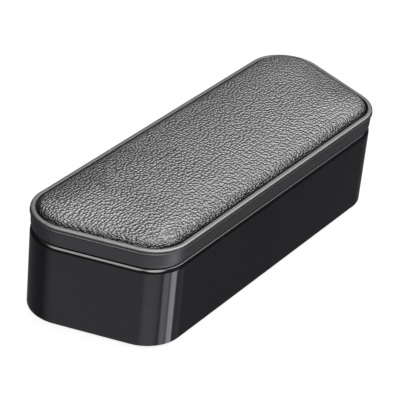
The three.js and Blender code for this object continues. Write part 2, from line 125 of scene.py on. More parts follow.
def filleted(corners, closed=False, steps=6):
    """The line through (across, up, radius) corners, with an arc at each whose radius isn't zero."""
    points = []
    last = len(corners) - 1
    for index, (across, up, radius) in enumerate(corners):
        corner = Vector((across, up))
        if radius == 0 or (not closed and index in (0, last)):
            points.append((across, up))
            continue
        before = (Vector(corners[index - 1][:2]) - corner).normalized()
        after = (Vector(corners[(index + 1) % len(corners)][:2]) - corner).normalized()
        opening = before.angle(after)
        reach = radius / math.tan(opening / 2)
        centre = corner + (before + after).normalized() * radius / math.sin(opening / 2)
        start = corner + before * reach - centre
        end = corner + after * reach - centre
        turn = math.pi - opening
        for step in range(steps + 1):
            share = step / steps
            swung = start * math.sin((1 - share) * turn) + end * math.sin(share * turn)
            point = centre + swung / math.sin(turn)
            points.append((point.x, point.y))
    return points


# ---- Meshes ----
def make_object(name, points, faces):
    """A mesh object in the scene."""
    mesh = bpy.data.meshes.new(name)
    mesh.from_pydata(points, [], faces)
    made = bpy.data.objects.new(name, mesh)
    bpy.context.scene.collection.objects.link(made)
    tidy_mesh(made)
    return made


def tidy_mesh(piece, sharp_angle=32):
    """Merges doubled points, turns the faces outward and shades smooth between sharp edges."""
    work = bmesh.new()
    work.from_mesh(piece.data)
    bmesh.ops.remove_doubles(work, verts=work.verts, dist=1e-7)
    bmesh.ops.recalc_face_normals(work, faces=work.faces)
    work.to_mesh(piece.data)
    work.free()
    piece.data.shade_smooth()
    piece.data.set_sharp_from_angle(angle=math.radians(sharp_angle))


def loft(name, levels, ring=outline, closed=False, place=lambda x, y, z: (x, y, z)):
    """A skin over a ring at each (inset, height), closed from last level to first, or else capped."""
    rings = [[place(x, y, height) for x, y in ring(inset)] for inset, height in levels]
    count = len(rings[0])
    points = [point for level in rings for point in level]
    faces = []
    for level in range(len(rings) if closed else len(rings) - 1):
        here = level * count
        above = (level + 1) % len(rings) * count
        for i in range(count):
            j = (i + 1) % count
            faces.append((here + i, here + j, above + j, above + i))
    if not closed:
        faces.append(tuple(range(count))[::-1])
        faces.append(tuple(range(len(points) - count, len(points))))
    return make_object(name, points, faces)


def facing_back(x, z, y):
    """Stands a form that was drawn flat up on edge, so that its height runs along +Y."""
    return (x, y, z)


def turned(name, profile, centre=(0, 0), steps=64, **options):
    """A lathe form from (radius, height) pairs."""

    def ring(radius):
        angles = [2 * math.pi * step / steps for step in range(steps)]
        return [(centre[0] + radius * math.cos(a), centre[1] + radius * math.sin(a)) for a in angles]

    return loft(name, profile, ring, **options)


def upright(radius, low, high, centre):
    """A round post, or the tool that cuts a round hole."""
    return turned("post", [(radius, low), (radius, high)], centre, 40)


def combine(piece, others, operation):
    """Joins the others to the piece, or cuts them out of it, and removes them."""
    for other in others:
        step = piece.modifiers.new("combine", "BOOLEAN")
        step.object = other
        step.operation = operation
        step.solver = "EXACT"
    apply_modifiers(piece)
    for other in others:
        bpy.data.objects.remove(other)
    tidy_mesh(piece)


def apply_modifiers(piece):
    """Makes the shape that the modifiers give the piece its own."""
    shaped = piece.evaluated_get(bpy.context.evaluated_depsgraph_get())
    mesh = bpy.data.meshes.new_from_object(shaped)
    piece.modifiers.clear()
    piece.data = mesh


def even_shading(piece):
    """Lets the large faces keep their own direction beside rounded edges."""
    weigh = piece.modifiers.new("even shading", "WEIGHTED_NORMAL")
    weigh.keep_sharp = True
    weigh.weight = 80


# ---- Materials: helpers ----
def node(tree, kind, sockets=None, **settings):
    """Adds a node. sockets gives each input, by name or number, a value or another node's output."""
    made = tree.nodes.new(kind)
    for key, value in settings.items():
        setattr(made, key, value)
    for key, value in (sockets or {}).items():
        if isinstance(value, bpy.types.NodeSocket):
            tree.links.new(value, made.inputs[key])
        else:
            made.inputs[key].default_value = value
    return made


def math_node(tree, operation, *values):
    """The result of a sum."""
    sockets = dict(enumerate(values))
    return node(tree, "ShaderNodeMath", sockets, operation=operation).outputs[0]


def vector_node(tree, operation, *values):
    """The result of a sum with vectors."""
    sockets = dict(enumerate(values))
    made = node(tree, "ShaderNodeVectorMath", sockets, operation=operation)
    return made.outputs["Value" if operation == "DOT_PRODUCT" else "Vector"]


def ease(tree, value, low, high, out_low=0.0, out_high=1.0):
    """A smooth step from out_low to out_high as value goes from low to high."""
    sockets = {"Value": value, "From Min": low, "From Max": high, "To Min": out_low, "To Max": out_high}
    return node(tree, "ShaderNodeMapRange", sockets, interpolation_type="SMOOTHSTEP").outputs["Result"]


def blend_colours(tree, share, first, second):
    """The first colour where share is 0, the second where it is 1."""
    sockets = {0: share, 6: first, 7: second}
    return node(tree, "ShaderNodeMix", sockets, data_type="RGBA").outputs[2]


def noise(tree, place, scale, detail=2.0, roughness=0.5):
    """A cloudy value between 0 and 1, with scale patches to the metre."""
    sockets = {"Vector": place, "Scale": scale, "Detail": detail, "Roughness": roughness}
    return node(tree, "ShaderNodeTexNoise", sockets).outputs["Fac"]


def new_group(name, inputs, outputs):
    """A shader node group with named inputs, as (name, default), and named value outputs."""
    group = bpy.data.node_groups.new(name, "ShaderNodeTree")
    for label, default in inputs:
        kind = "NodeSocketVector" if isinstance(default, tuple) else "NodeSocketFloat"
        group.interface.new_socket(label, in_out="INPUT", socket_type=kind).default_value = default
    for label in outputs:
        group.interface.new_socket(label, in_out="OUTPUT", socket_type="NodeSocketFloat")
    return group, node(group, "NodeGroupInput").outputs, node(group, "NodeGroupOutput").inputs


# ---- Materials: shared effects ----
STREAK_SIZE = 3 * MM


def make_moulding():
    """Moulded or machined surface: fine texture, slow unevenness, faint rubbed streaks and settled dust."""
    inputs = [("Place", (0.0, 0.0, 0.0)), ("Texture Size", 0.3 * MM), ("Patch Size", 12 * MM)]
    group, given, out = new_group("moulding", inputs, ["Texture", "Patches", "Streaks", "Dust"])
    place = given["Place"]
    fine = math_node(group, "DIVIDE", 1.0, given["Texture Size"])
    slow = math_node(group, "DIVIDE", 1.0, given["Patch Size"])
    group.links.new(noise(group, place, fine, 3.0), out["Texture"])
    patches = noise(group, place, slow, 4.0, 0.6)
    group.links.new(ease(group, patches, 0.3, 0.7), out["Patches"])
    drawn = vector_node(group, "MULTIPLY", place, (0.12, 0.12, 1.0))
    lines = noise(group, drawn, 1 / STREAK_SIZE, 6.0, 0.7)
    group.links.new(ease(group, lines, 0.5, 0.75), out["Streaks"])
    specks = noise(group, place, 2600.0, 1.0)
    drift = noise(group, place, 90.0)
    few = math_node(group, "MULTIPLY", ease(group, specks, 0.68, 0.78), ease(group, drift, 0.45, 0.7))
    group.links.new(few, out["Dust"])
    return group


def pebbles(tree, place, size):
    """Rounded pebbles of that size: 1 at the crown of each, 0 in the crease between them."""
    counts = (1 / size[0], 1 / size[1], 1.0)
    sockets = {"Vector": vector_node(tree, "MULTIPLY", place, counts), "Scale": 1.0, "Randomness": 0.8}
    reach = node(tree, "ShaderNodeTexVoronoi", sockets, voronoi_dimensions="2D").outputs["Distance"]
    return ease(tree, reach, 0.0, 0.7, 1.0, 0.0)


def make_leather_grain():
    """Embossed leather: pebbles that lie lengthwise in some patches and are nearly round in others."""
    inputs = [("Place", (0.0, 0.0, 0.0))]
    group, given, out = new_group("leather grain", inputs, ["Height", "Crease", "Tone"])
    place = given["Place"]
    lengthwise = pebbles(group, place, (0.96 * MM, 0.66 * MM))
    crosswise = pebbles(group, place, (0.74 * MM, 0.82 * MM))
    turn = ease(group, noise(group, place, 55.0, 1.0), 0.49, 0.52)
    mixed = node(group, "ShaderNodeMix", {0: turn, 2: lengthwise, 3: crosswise}).outputs[0]
    swell = noise(group, place, 330.0)
    group.links.new(math_node(group, "MULTIPLY_ADD", swell, 0.15, mixed), out["Height"])
    group.links.new(ease(group, mixed, 0.1, 0.5, 1.0, 0.0), out["Crease"])
    group.links.new(ease(group, noise(group, place, 160.0, 3.0), 0.3, 0.7), out["Tone"])
    return group


MOULDING = make_moulding()
LEATHER_GRAIN = make_leather_grain()


# ---- Materials: finishes ----
def start_material(name):
    """A new material with its tree, its shader, and each point's place on the piece."""
    material = bpy.data.materials.new(name)
    material.use_nodes = True
    tree = material.node_tree
    place = node(tree, "ShaderNodeTexCoord").outputs["Object"]
    return material, tree, tree.nodes["Principled BSDF"], place


def colour(red, green, blue):
    """An opaque colour."""
    return (red, green, blue, 1.0)


DUST = colour(0.35, 0.34, 0.32)


def connect(tree, shader, tone, rough, height, depth):
    """Gives the shader its tone, its roughness, and a relief of that depth."""
    tree.links.new(tone, shader.inputs["Base Color"])
    tree.links.new(rough, shader.inputs["Roughness"])
    bump = node(tree, "ShaderNodeBump", {"Height": height, "Strength": 1.0, "Distance": depth})
    tree.links.new(bump.outputs["Normal"], shader.inputs["Normal"])


def moulded(name, base, worn, roughness, texture=0.3, relief=0.01, patch=12, dust=0.15, **sockets):
    """A plastic, metal, rubber or coated finish.

    base and worn are its two tones, and roughness its lowest and highest. texture and patch are the sizes
    in millimetres of its fine and slow unevenness, and relief is the fine one's depth. Other values go to
    the shader.
    """
    material, tree, shader, place = start_material(name)
    sizes = {"Place": place, "Texture Size": texture * MM, "Patch Size": patch * MM}
    surface = node(tree, "ShaderNodeGroup", sizes, node_tree=MOULDING).outputs
    tone = blend_colours(tree, surface["Patches"], base, worn)
    dusty = math_node(tree, "MULTIPLY", surface["Dust"], dust)
    tone = blend_colours(tree, dusty, tone, DUST)
    rubbed = math_node(tree, "MULTIPLY_ADD", surface["Texture"], 0.35, surface["Streaks"])
    rough = ease(tree, rubbed, 0.1, 1.2, *roughness)
    rough = math_node(tree, "MULTIPLY_ADD", dusty, 0.4, rough)
    connect(tree, shader, tone, rough, surface["Texture"], relief * MM)
    for key, value in sockets.items():
        shader.inputs[key.replace("_", " ")].default_value = value
    return material


def make_leather():
    """Charcoal leather, duller in its creases, and darker there by painted shade."""
    material, tree, shader, place = start_material("charcoal_leather")
    # The sides are laid flat round the top, so that the grain runs on down them.
    normal = node(tree, "ShaderNodeTexCoord").outputs["Normal"]
    facing = vector_node(tree, "MULTIPLY", normal, (1.0, 1.0, 0.0))
    height = node(tree, "ShaderNodeSeparateXYZ", {0: place}).outputs["Z"]
    depth = math_node(tree, "SUBTRACT", PAD_TOP, height)
    down = node(tree, "ShaderNodeVectorMath", {0: facing, "Scale": depth}, operation="SCALE").outputs[0]
    spread = vector_node(tree, "ADD", place, down)
    grain = node(tree, "ShaderNodeGroup", {"Place": spread}, node_tree=LEATHER_GRAIN).outputs
    crown = blend_colours(tree, grain["Tone"], colour(0.004, 0.0039, 0.004), colour(0.0075, 0.0074, 0.0072))
    # painted shade: the creases are darkened in colour, on top of the shading that the relief gives them
    tone = blend_colours(tree, grain["Crease"], crown, colour(0.002, 0.002, 0.0022))
    rough = ease(tree, grain["Crease"], 0.0, 1.0, 0.3, 0.48)
    connect(tree, shader, tone, rough, grain["Height"], 0.135 * MM)
    return material


def make_foam_finish():
    """Open-cell foam: soft grey walls, with its pores darkened by painted shade."""
    material, tree, shader, place = start_material("open_cell_foam")
    cells = node(tree, "ShaderNodeTexVoronoi", {"Vector": place, "Scale": 2400.0, "Randomness": 1.0})
    pore = ease(tree, cells.outputs["Distance"], 0.15, 0.55, 1.0, 0.0)
    cloudy = noise(tree, place, 400.0, 3.0)
    walls = blend_colours(tree, cloudy, colour(0.026, 0.026, 0.027), colour(0.040, 0.040, 0.041))
    # painted shade: the pores, which the relief already sinks, are also darkened in colour
    tone = blend_colours(tree, pore, walls, colour(0.006, 0.006, 0.006))
    rough = ease(tree, cloudy, 0.2, 0.8, 0.85, 1.0)
    connect(tree, shader, tone, rough, math_node(tree, "SUBTRACT", 1.0, pore), 0.15 * MM)
    return material


def make_board_finish():
    """Green solder mask with copper tracks showing faintly through it."""
    material, tree, shader, place = start_material("green_circuit_board")
    grid = vector_node(tree, "MULTIPLY", place, (1.0, 1.0, 0.0))
    track_pitch = 2.4 * MM
    sockets = {
        "Vector": grid,
        "Scale": 1 / track_pitch,
        "Mortar Size": 0.05,
        "Mortar Smooth": 0.1,
        "Brick Width": 1.3,
    }
    tracks = node(tree, "ShaderNodeTexBrick", sockets, offset=0.37).outputs["Fac"]
    covered = ease(tree, noise(tree, place, 150.0, 1.0), 0.42, 0.5)
    track = math_node(tree, "MULTIPLY", tracks, covered)
    mottle = noise(tree, place, 500.0, 3.0)
    mask = blend_colours(tree, mottle, colour(0.008, 0.075, 0.030), colour(0.012, 0.105, 0.042))
    tone = blend_colours(tree, track, mask, colour(0.035, 0.20, 0.075))
    rough = ease(tree, mottle, 0.2, 0.8, 0.25, 0.42)
    connect(tree, shader, tone, rough, track, 0.03 * MM)
    return material


FINISHES = {
    "gloss_case": moulded(
        "gloss_black_case", colour(0.002, 0.002, 0.0025), colour(0.003, 0.003, 0.0036), (0.05, 0.14),
        texture=0.8, relief=0.0006, patch=25, dust=0.05,
    ),
    "satin_bezel": moulded(
        "satin_charcoal", colour(0.0125, 0.0121, 0.0132), colour(0.0155, 0.0151, 0.0162), (0.36, 0.46),
        texture=0.16, relief=0.004, patch=18, dust=0.08,
    ),
    "pad_leather": make_leather(),
    "black_screw": moulded(
        "black_oxide", colour(0.012, 0.012, 0.013), colour(0.03, 0.028, 0.026), (0.28, 0.5),
        texture=0.2, relief=0.006, patch=2, Metallic=0.8,
    ),
    "foot_rubber": moulded(
        "foot_rubber", colour(0.010, 0.010, 0.010), colour(0.018, 0.018, 0.018), (0.7, 0.95),
        texture=0.12, relief=0.012, patch=4, dust=0.5,
    ),
    "label_film": moulded(
        "label_film", colour(0.066, 0.066, 0.071), colour(0.078, 0.078, 0.083), (0.38, 0.55),
        texture=0.25, relief=0.003, patch=9, dust=0.2,
    ),
    "inner_plastic": moulded(
        "inner_plastic", colour(0.018, 0.018, 0.018), colour(0.024, 0.024, 0.024), (0.5, 0.75),
        texture=0.15, relief=0.01, patch=10,
    ),
    "pad_foam": make_foam_finish(),
    "white_nylon": moulded(
        "natural_nylon", colour(0.74, 0.70, 0.62), colour(0.66, 0.61, 0.52), (0.38, 0.58),
        texture=0.3, relief=0.006, patch=5, dust=0.1, Subsurface_Weight=0.1,
    ),
    "copper_wire": moulded(
        "enamelled_copper", colour(0.62, 0.20, 0.07), colour(0.42, 0.12, 0.04), (0.22, 0.38),
        texture=0.3, relief=0.004, patch=3, Metallic=1.0, Coat_Weight=0.5, Coat_Roughness=0.15,
    ),
    "ferrite": moulded(
        "sintered_ferrite", colour(0.028, 0.028, 0.031), colour(0.045, 0.045, 0.048), (0.6, 0.85),
        texture=0.1, relief=0.01, patch=2,
    ),
    "steel": moulded(
        "bright_steel", colour(0.52, 0.52, 0.51), colour(0.42, 0.42, 0.42), (0.2, 0.42),
        texture=0.25, relief=0.002, patch=3, dust=0.05, Metallic=1.0,
    ),
    "circuit_board": make_board_finish(),
    "chip_epoxy": moulded(
        "chip_epoxy", colour(0.012, 0.012, 0.013), colour(0.018, 0.018, 0.019), (0.45, 0.65),
        texture=0.1, relief=0.005, patch=4,
    ),
    "capacitor_sleeve": moulded(
        "shrunk_sleeve", colour(0.013, 0.022, 0.046), colour(0.020, 0.032, 0.062), (0.22, 0.4),
        texture=0.6, relief=0.01, patch=6,
    ),
    "clear_plastic": moulded(
        "clear_moulding", colour(0.8, 0.85, 0.88), colour(0.76, 0.82, 0.86), (0.05, 0.14),
        texture=0.6, relief=0.001, patch=4, dust=0.03, Transmission_Weight=0.85, IOR=1.49,
    ),
    "cell_foil": moulded(
        "cell_foil", colour(0.45, 0.47, 0.50), colour(0.36, 0.38, 0.41), (0.26, 0.45),
        texture=1.6, relief=0.05, patch=6, Metallic=0.85,
    ),
    "red_insulation": moulded(
        "red_insulation", colour(0.40, 0.012, 0.012), colour(0.30, 0.010, 0.010), (0.3, 0.48),
        texture=0.4, relief=0.004, patch=4,
    ),
    "black_insulation": moulded(
        "black_insulation", colour(0.010, 0.010, 0.010), colour(0.016, 0.016, 0.016), (0.3, 0.48),
        texture=0.4, relief=0.004, patch=4,
    ),
}
GILT = moulded(
    "gilt_contact", colour(0.83, 0.58, 0.22), colour(0.70, 0.47, 0.17), (0.18, 0.32),
    texture=0.2, relief=0.002, patch=1, dust=0.05, Metallic=1.0,
)

KEPT_NODES = {
    "black_screw": ["case_screw_1", "case_screw_2", "case_screw_3", "case_screw_4"],
    "label_film": ["base_label"],
    "inner_plastic": ["pad_plate"],
    "white_nylon": ["coil_bobbin", "battery_socket", "battery_plug", "switch_plunger"],
    "copper_wire": ["coil_lead_1", "coil_lead_2"],
    "ferrite": ["coil_core", "boost_inductor"],
    "steel": ["coil_screw_1", "coil_screw_2", "board_screw_1", "board_screw_2", "board_screw_3"],
    "circuit_board": ["main_board"],
    "chip_epoxy": ["controller_chip", "charger_chip", "mosfet_1", "mosfet_2", "flyback_diode", "switch_body"],
    "capacitor_sleeve": ["storage_capacitor"],
    "clear_plastic": ["status_led"],
    "cell_foil": ["battery_cell"],
    "red_insulation": ["battery_lead_red"],
    "black_insulation": ["battery_lead_black"],
}


def dress(piece, slot, finish=None):
    """Gives a new piece the finish of one of the record's material slots, or a finish of its own."""
    piece.data.materials.clear()
    piece.data.materials.append(finish or FINISHES[slot])


def refinish():
    """Gives each CAD node that still shows the finish of its slot."""
    for slot, nodes in KEPT_NODES.items():
        for name in nodes:
            for holder in NODES[name].material_slots:
                holder.material = FINISHES[slot]


def seat(piece, body, slot, *stands_for):
    """Puts a piece on its body with its finish, in place of the CAD nodes that it stands for."""
    dress(piece, slot)
    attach(piece, body)
    if stands_for:
        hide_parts(*stands_for)


# ---- Case ----
def make_case():
    """The tub: a shell with posts for the screws, and the openings for feet, label, screws and controls."""
    levels = filleted([
        (FLAT_INSET, CASE_BOTTOM, 0),
        (DRAFT, CASE_BOTTOM, 0.25 * MM),
        (0, SEAM, 1.2 * MM),
        (WALL, SEAM, 0.1 * MM),
        (WALL, FLOOR_TOP, 0.8 * MM),
        (FLAT_INSET, FLOOR_TOP, 0),
    ], steps=7)
    case = loft("case_shell", levels)
    floor = FLOOR_TOP - 0.5 * MM
    posts = [upright(3.4 * MM, floor, 5.5 * MM, place) for place in POSTS]
    posts += [upright(2.2 * MM, floor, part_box("main_board")[0].z - CONTACT, place) for place in BOARD_SCREWS]
    posts += [upright(2 * MM, floor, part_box("coil_bobbin")[0].z - CONTACT, place) for place in COIL_SCREWS]
    combine(case, posts, "UNION")
    foot_radius = (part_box("foot_1")[1].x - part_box("foot_1")[0].x) / 2 + GAP
    head_hole = 2.3 * MM
    shank_hole = 1.25 * MM
    thread_hole = 1 * MM
    over_posts = 7 * MM
    below = CASE_BOTTOM - 1 * MM
    holes = []
    for place in POSTS:
        foot_recess = [
            (foot_radius + 1 * MM, below),
            (foot_radius + 0.15 * MM, CASE_BOTTOM - 0.02 * MM),
            (foot_radius, CASE_BOTTOM + 0.15 * MM),
            (foot_radius, CASE_BOTTOM + 0.8 * MM),
        ]
        holes.append(turned("recess", foot_recess, place))
        holes.append(upright(head_hole, CASE_BOTTOM, SCREW_SEAT, place))
        holes.append(upright(shank_hole, CASE_BOTTOM, over_posts, place))
    holes += [upright(thread_hole, FLOOR_TOP - 0.8 * MM, over_posts, place) for place in BOARD_SCREWS]
    holes += [upright(thread_hole, FLOOR_TOP, over_posts + 4 * MM, place) for place in COIL_SCREWS]
    combine(case, holes + [label_recess()] + ports(), "DIFFERENCE")
    even_shading(case)
    seat(case, "case", "gloss_case", "lower_case")


def label_recess():
    """The tool that cuts the shallow recess for the label."""
    half = (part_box("base_label")[1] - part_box("base_label")[0]) / 2
    ring = rounded_rectangle(half.x + GAP, half.y + GAP, 1.5 * MM)
    return loft("recess", [(0, CASE_BOTTOM - 1 * MM), (0, CASE_BOTTOM + 0.35 * MM)], ring)


def ports():
    """The tools that cut the openings in the back wall, each with a small flare at its mouth."""
    flare = 0.22 * MM
    mouth = [
        (0, WALL_FACE - 4 * MM),
        (0, WALL_FACE - flare),
        (-flare, WALL_FACE),
        (-1.2 * MM, WALL_FACE + 1 * MM),
    ]
    tools = []
    for control, half_width, half_height in (
        ("button_cap", 2.75 * MM, 2.75 * MM),
        ("light_pipe", 1.1 * MM, 1.1 * MM),
        ("charging_socket", 4.7 * MM, 1.85 * MM),
    ):
        centre = middle(control)
        ring = rounded_rectangle(half_width, half_height, half_height, (centre.x, centre.z), 10)
        tools.append(loft("port", mouth, ring, place=facing_back))
    return tools


def make_bezel():
    """The rim: a bead and a lip outside, a ledge for the pad, and a tongue and posts that go into the tub."""
    bottom = SEAM + 0.25 * MM
    bead = RIM_TOP - 0.95 * MM
    tongue_end = bottom - 3 * MM
    section = [
        (0.26 * MM, bottom, 0.12 * MM),
        (0.1 * MM, bottom + 0.7 * MM, 0.4 * MM),
        (-0.02 * MM, bead - 0.2 * MM, 0.1 * MM),
        (-0.23 * MM, bead, 0.05 * MM),
        (-0.23 * MM, bead + 0.12 * MM, 0.04 * MM),
        (-0.16 * MM, bead + 0.2 * MM, 0.03 * MM),
        (-0.16 * MM, RIM_TOP, 0.42 * MM),
        (LIP_INSET, RIM_TOP, 0.06 * MM),
        (LIP_INSET, LEDGE_TOP, 0.1 * MM),
        (4.2 * MM, LEDGE_TOP, 0),
        (4.2 * MM, bottom, 0),
        (3.7 * MM, bottom, 0),
        (3.7 * MM, tongue_end, 0),
        (2.35 * MM, tongue_end, 0.2 * MM),
        (2.35 * MM, bottom, 0),
    ]
    bezel = loft("bezel_ring", filleted(section, closed=True, steps=5), closed=True)
    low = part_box("top_bezel")[0].z
    combine(bezel, [upright(3 * MM, low, POST_TOP, place) for place in POSTS], "UNION")
    combine(bezel, [upright(1.15 * MM, low - 1 * MM, 14.5 * MM, place) for place in POSTS], "DIFFERENCE")
    even_shading(bezel)
    seat(bezel, "case", "satin_bezel", "top_bezel")


def make_feet():
    """Rubber discs with a round edge and a shallow hollow, pressed into the case over its screws."""
    for name in FEET:
        low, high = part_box(name)
        radius = (high.x - low.x) / 2
        profile = filleted([
            (0.2 * radius, 0.18 * MM, 0),
            (0.58 * radius, 0.18 * MM, 0.1 * MM),
            (0.68 * radius, low.z, 0.1 * MM),
            (radius, low.z, 0.3 * MM),
            (radius, high.z, 0.1 * MM),
            (0.2 * radius, high.z, 0),
        ])
        foot = turned(f"rubber_{name}", profile, middle(name).xy)
        seat(foot, "case", "foot_rubber", name)


# ---- Controls on the back ----
TONGUE_HALF = 0.35 * MM  # half the thickness of the socket's tongue
CONTACT_PITCH = 1 * MM
CONTACTS_PER_FACE = 6


def make_button():
    """The cap: a dished face, a skirt in the wall's hole, a collar behind it and a stem on the switch."""
    low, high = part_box("button_cap")
    centre = middle("button_cap")
    collar = (high.x - low.x) / 2
    cap = 2.5 * MM
    stem = 1.3 * MM
    profile = filleted([
        (0.4 * stem, low.y, 0),
        (stem, low.y, 0.1 * MM),
        (stem, low.y + 0.6 * MM, 0.1 * MM),
        (collar, low.y + 0.6 * MM, 0.1 * MM),
        (collar, low.y + 1.5 * MM, 0.1 * MM),
        (cap, low.y + 1.5 * MM, 0.1 * MM),
        (cap, high.y, 0.3 * MM),
        (0.66 * cap, high.y, 0.3 * MM),
        (0.3 * cap, high.y - 0.14 * MM, 0.4 * MM),
        (0.05 * cap, high.y - 0.16 * MM, 0),
    ])
    button = turned("push_button", profile, (centre.x, centre.z), place=facing_back)
    seat(button, "button", "satin_bezel", "button_cap")


def make_lamp():
    """The light pipe: a flange behind the wall and a domed lens in it."""
    low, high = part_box("light_pipe")
    centre = middle("light_pipe")
    flange = (high.x - low.x) / 2
    lens = 1 * MM
    profile = filleted([
        (0.3 * lens, low.y, 0),
        (flange, low.y, 0.1 * MM),
        (flange, low.y + 1.6 * MM, 0.1 * MM),
        (lens, low.y + 1.6 * MM, 0.05 * MM),
        (lens, high.y - 0.1 * MM, 0.25 * MM),
        (0.1 * lens, high.y, 0),
    ])
    lamp = turned("lamp_lens", profile, (centre.x, centre.z), 40, place=facing_back)
    seat(lamp, "case", "clear_plastic", "light_pipe")


def make_socket():
    """The charging socket's thin drawn shell."""
    low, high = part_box("charging_socket")
    half = (high - low) / 2
    centre = middle("charging_socket")
    metal = 0.3 * MM
    ring = rounded_rectangle(half.x, half.z, half.z, (centre.x, centre.z), 10)
    wall = filleted([
        (1.2 * MM, low.y + metal, 0),
        (metal, low.y + metal, 0.1 * MM),
        (metal, high.y, 0.12 * MM),
        (0, high.y, 0.12 * MM),
        (0, low.y, 0.3 * MM),
        (1.2 * MM, low.y, 0),
    ])
    shell = loft("socket_shell", wall, ring, place=facing_back)
    seat(shell, "case", "steel", "charging_socket")


def make_tongue():
    """The contact tongue on its block, inside the socket's shell."""
    shell_low, shell_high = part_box("charging_socket")
    half = (shell_high - shell_low) / 2
    centre = middle("charging_socket")
    low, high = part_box("charging_tongue")
    front = low.y + 1.4 * MM
    root = low.y + 1 * MM
    block = filleted([
        (0.5 * MM, low.y, 0),
        (0, low.y, 0.1 * MM),
        (0, front, 0.1 * MM),
        (0.5 * MM, front, 0),
    ])
    blade = filleted([
        (0.1 * MM, root, 0),
        (0, root, 0),
        (0, high.y, 0.12 * MM),
        (0.15 * MM, high.y, 0),
    ])
    in_shell = 0.5 * MM
    block_ring = rounded_rectangle(half.x - in_shell, half.z - in_shell, 1.1 * MM, (centre.x, centre.z), 8)
    blade_ring = rounded_rectangle(3.3 * MM, TONGUE_HALF, 0.2 * MM, (centre.x, centre.z), 4)
    tongue = loft("contact_tongue", block, block_ring, place=facing_back)
    combine(tongue, [loft("blade", blade, blade_ring, place=facing_back)], "UNION")
    seat(tongue, "case", "chip_epoxy", "charging_tongue")


def make_contacts():
    """Gilt strips along both faces of the tongue, as one piece."""
    low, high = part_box("charging_tongue")
    centre = middle("charging_socket")
    bevel = 0.015 * MM
    levels = [
        (bevel, low.y + 1.5 * MM),
        (0, low.y + 1.53 * MM),
        (0, high.y - 0.5 * MM),
        (bevel, high.y - 0.45 * MM),
    ]
    contacts = []
    for side in (-1, 1):
        for step in range(CONTACTS_PER_FACE):
            x = centre.x + (step - (CONTACTS_PER_FACE - 1) / 2) * CONTACT_PITCH
            z = centre.z + side * TONGUE_HALF
            ring = rounded_rectangle(0.22 * MM, 0.03 * MM, 0.02 * MM, (x, z), 3)
            contacts.append(loft(f"contact_{step}", levels, ring, place=facing_back))
    joined = merge(contacts)
    joined.name = "gilt_contacts"
    dress(joined, "copper_wire", GILT)
    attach(joined, "case")


def merge(pieces):
    """Puts the meshes of all the pieces into the first."""
    first, *others = pieces
    work = bmesh.new()
    for piece in pieces:
        work.from_mesh(piece.data)
    work.to_mesh(first.data)
    work.free()
    for other in others:
        bpy.data.objects.remove(other)
    return first


# ---- Coil ----
def make_winding():
    """The enamelled wire, with a ridge for each turn of its outer layer."""
    low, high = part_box("coil_winding")
    outside = (high.x - low.x) / 2
    inside = 8.15 * MM
    turns = 20
    wire = (high.z - low.z) / turns / 2
    ridge_steps = 6
    profile = [(inside, high.z), (inside, low.z)]
    for turn in range(turns):
        centre = low.z + wire * (2 * turn + 1)
        for step in range(ridge_steps + 1):
            angle = math.pi * (step / ridge_steps - 0.5)
            profile.append((outside - wire + wire * math.cos(angle), centre + wire * math.sin(angle)))
    winding = turned("wound_coil", profile, closed=True)
    seat(winding, "case", "copper_wire", "coil_winding")


# ---- Pad ----
SIMULATION_SCALE = 20  # the cloth solver works best on things about a metre long
SIMULATION_FRAMES = 20
SLACK = 0.15 * MM  # how much smaller the pad is before it is filled
SPREAD = 0.1 * MM  # how far the leather may move sideways


def pad_levels(shrink):
    """The pad's section from its underside up, over the side and the roll to the crown."""
    side = PAD_INSET + shrink
    top = PAD_TOP - shrink
    return filleted([
        (FLAT_INSET, PAD_BOTTOM + shrink, 0),
        (side, PAD_BOTTOM + shrink, 0.6 * MM),
        (side, top - 1.15 * MM, 1.5 * MM),
        (8.8 * MM, top - 0.55 * MM, 0),
    ], steps=8)


def inflate(pad):
    """Fills the pad with pressure, as leather pulled over foam, with its lower side held in the bezel."""
    for vertex in pad.data.vertices:
        vertex.co *= SIMULATION_SCALE
    remesh = pad.modifiers.new("even skin", "REMESH")
    remesh.mode = "VOXEL"
    remesh.voxel_size = 0.65 * MM * SIMULATION_SCALE
    apply_modifiers(pad)
    rest = [vertex.co / SIMULATION_SCALE for vertex in pad.data.vertices]
    held = pad.vertex_groups.new(name="held")
    for index, place in enumerate(rest):
        if place.z < RIM_TOP + 0.3 * MM:
            held.add([index], 1.0, "REPLACE")
    cloth = pad.modifiers.new("leather", "CLOTH")
    cloth.settings.quality = 6
    cloth.settings.use_pressure = True
    cloth.settings.uniform_pressure_force = 4
    cloth.settings.tension_stiffness = 15
    cloth.settings.bending_stiffness = 2
    cloth.settings.effector_weights.gravity = 0
    cloth.settings.vertex_group_mass = "held"
    cloth.point_cache.frame_end = SIMULATION_FRAMES
    for step in range(1, SIMULATION_FRAMES + 1):
        bpy.context.scene.frame_set(step)
    shaped = pad.evaluated_get(bpy.context.evaluated_depsgraph_get())
    blown = [vertex.co / SIMULATION_SCALE for vertex in shaped.data.vertices]
    bpy.context.scene.frame_set(1)
    pad.modifiers.clear()
    pad.vertex_groups.clear()
    rise = max(end.z - start.z for start, end in zip(rest, blown))
    room = PAD_TOP - max(place.z for place in rest)
    share = room / rise
    for vertex, start, end in zip(pad.data.vertices, rest, blown):
        sideways = (end - start).xy * share
        if sideways.length > SPREAD:
            sideways *= SPREAD / sideways.length
        vertex.co = start + Vector((sideways.x, sideways.y, (end.z - start.z) * share))


def make_pad():
    """The leather, filled out over its foam."""
    pad = loft("leather_pad", pad_levels(SLACK))
    inflate(pad)
    tidy_mesh(pad, 180)
    pad.modifiers.new("settle", "SMOOTH").iterations = 2
    pad.modifiers.new("fine skin", "SUBSURF").render_levels = 1
    seat(pad, "case", "pad_leather", "pad_cover")


